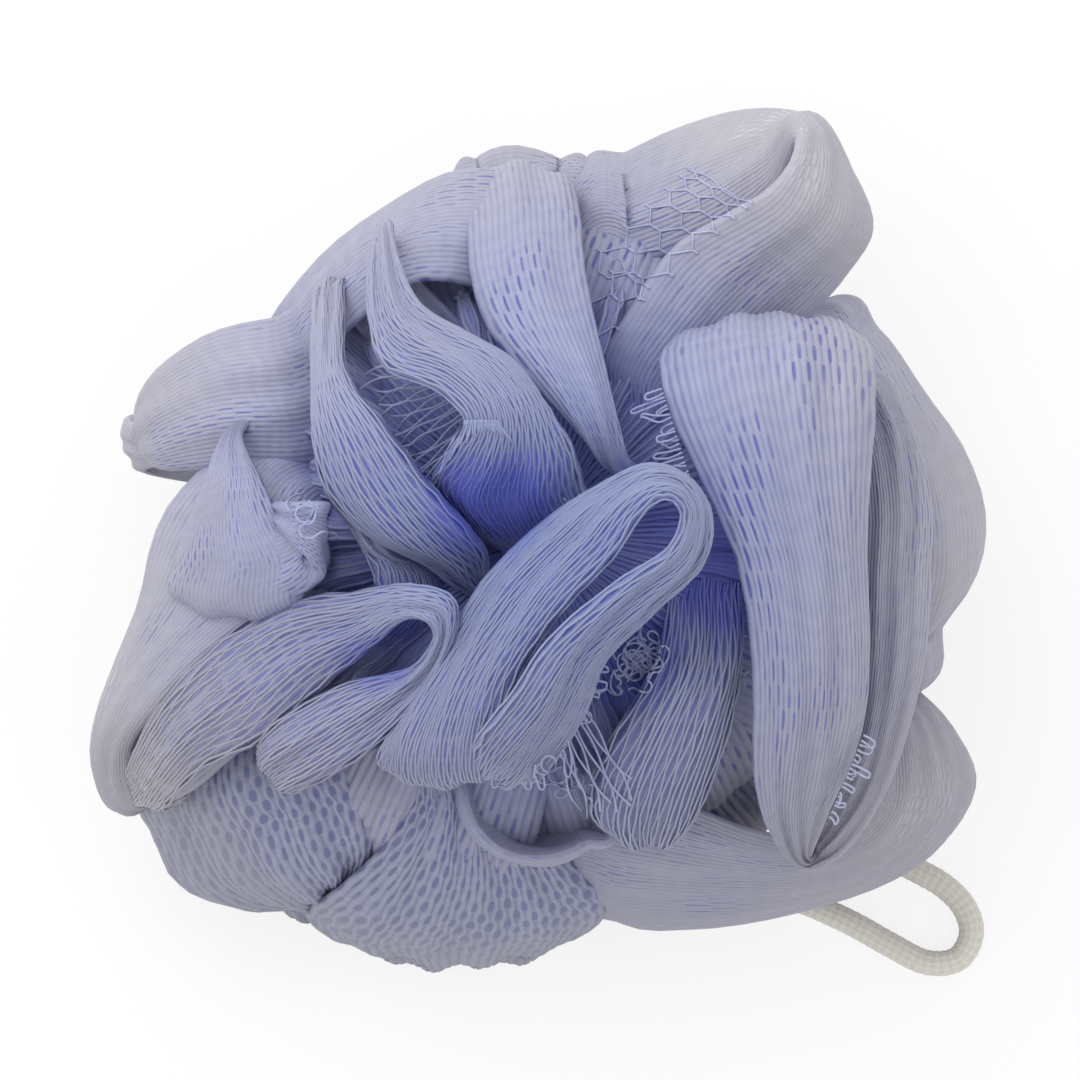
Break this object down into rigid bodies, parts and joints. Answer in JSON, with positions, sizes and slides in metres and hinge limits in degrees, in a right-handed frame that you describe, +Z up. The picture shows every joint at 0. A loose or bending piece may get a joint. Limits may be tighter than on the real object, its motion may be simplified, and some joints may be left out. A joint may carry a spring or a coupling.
{
  "type": "bath pouf",
  "caption": "Round soft bath pouf of ruffled diamond netting, gathered and bound at its middle, with a hanging cord loop.",
  "frame": {"origin": "on the table surface under the middle of the netting", "axes": "+Z up from the table; the picture looks down along -Z with +X to its right and +Y to its top, and the cord loop lies towards +X -Y"},
  "size_m": [0.1307, 0.127, 0.0827],
  "materials": {
    "netting": "extruded diamond netting, translucent lilac blue, soft sheen",
    "binding": "thin twisted string, ivory",
    "cord": "braided cord, ivory"
  },
  "bodies": {
    "root": {"mesh_net": "netting", "centre_tie": "binding", "hanging_cord": "cord"}
  },
  "joints": []
}
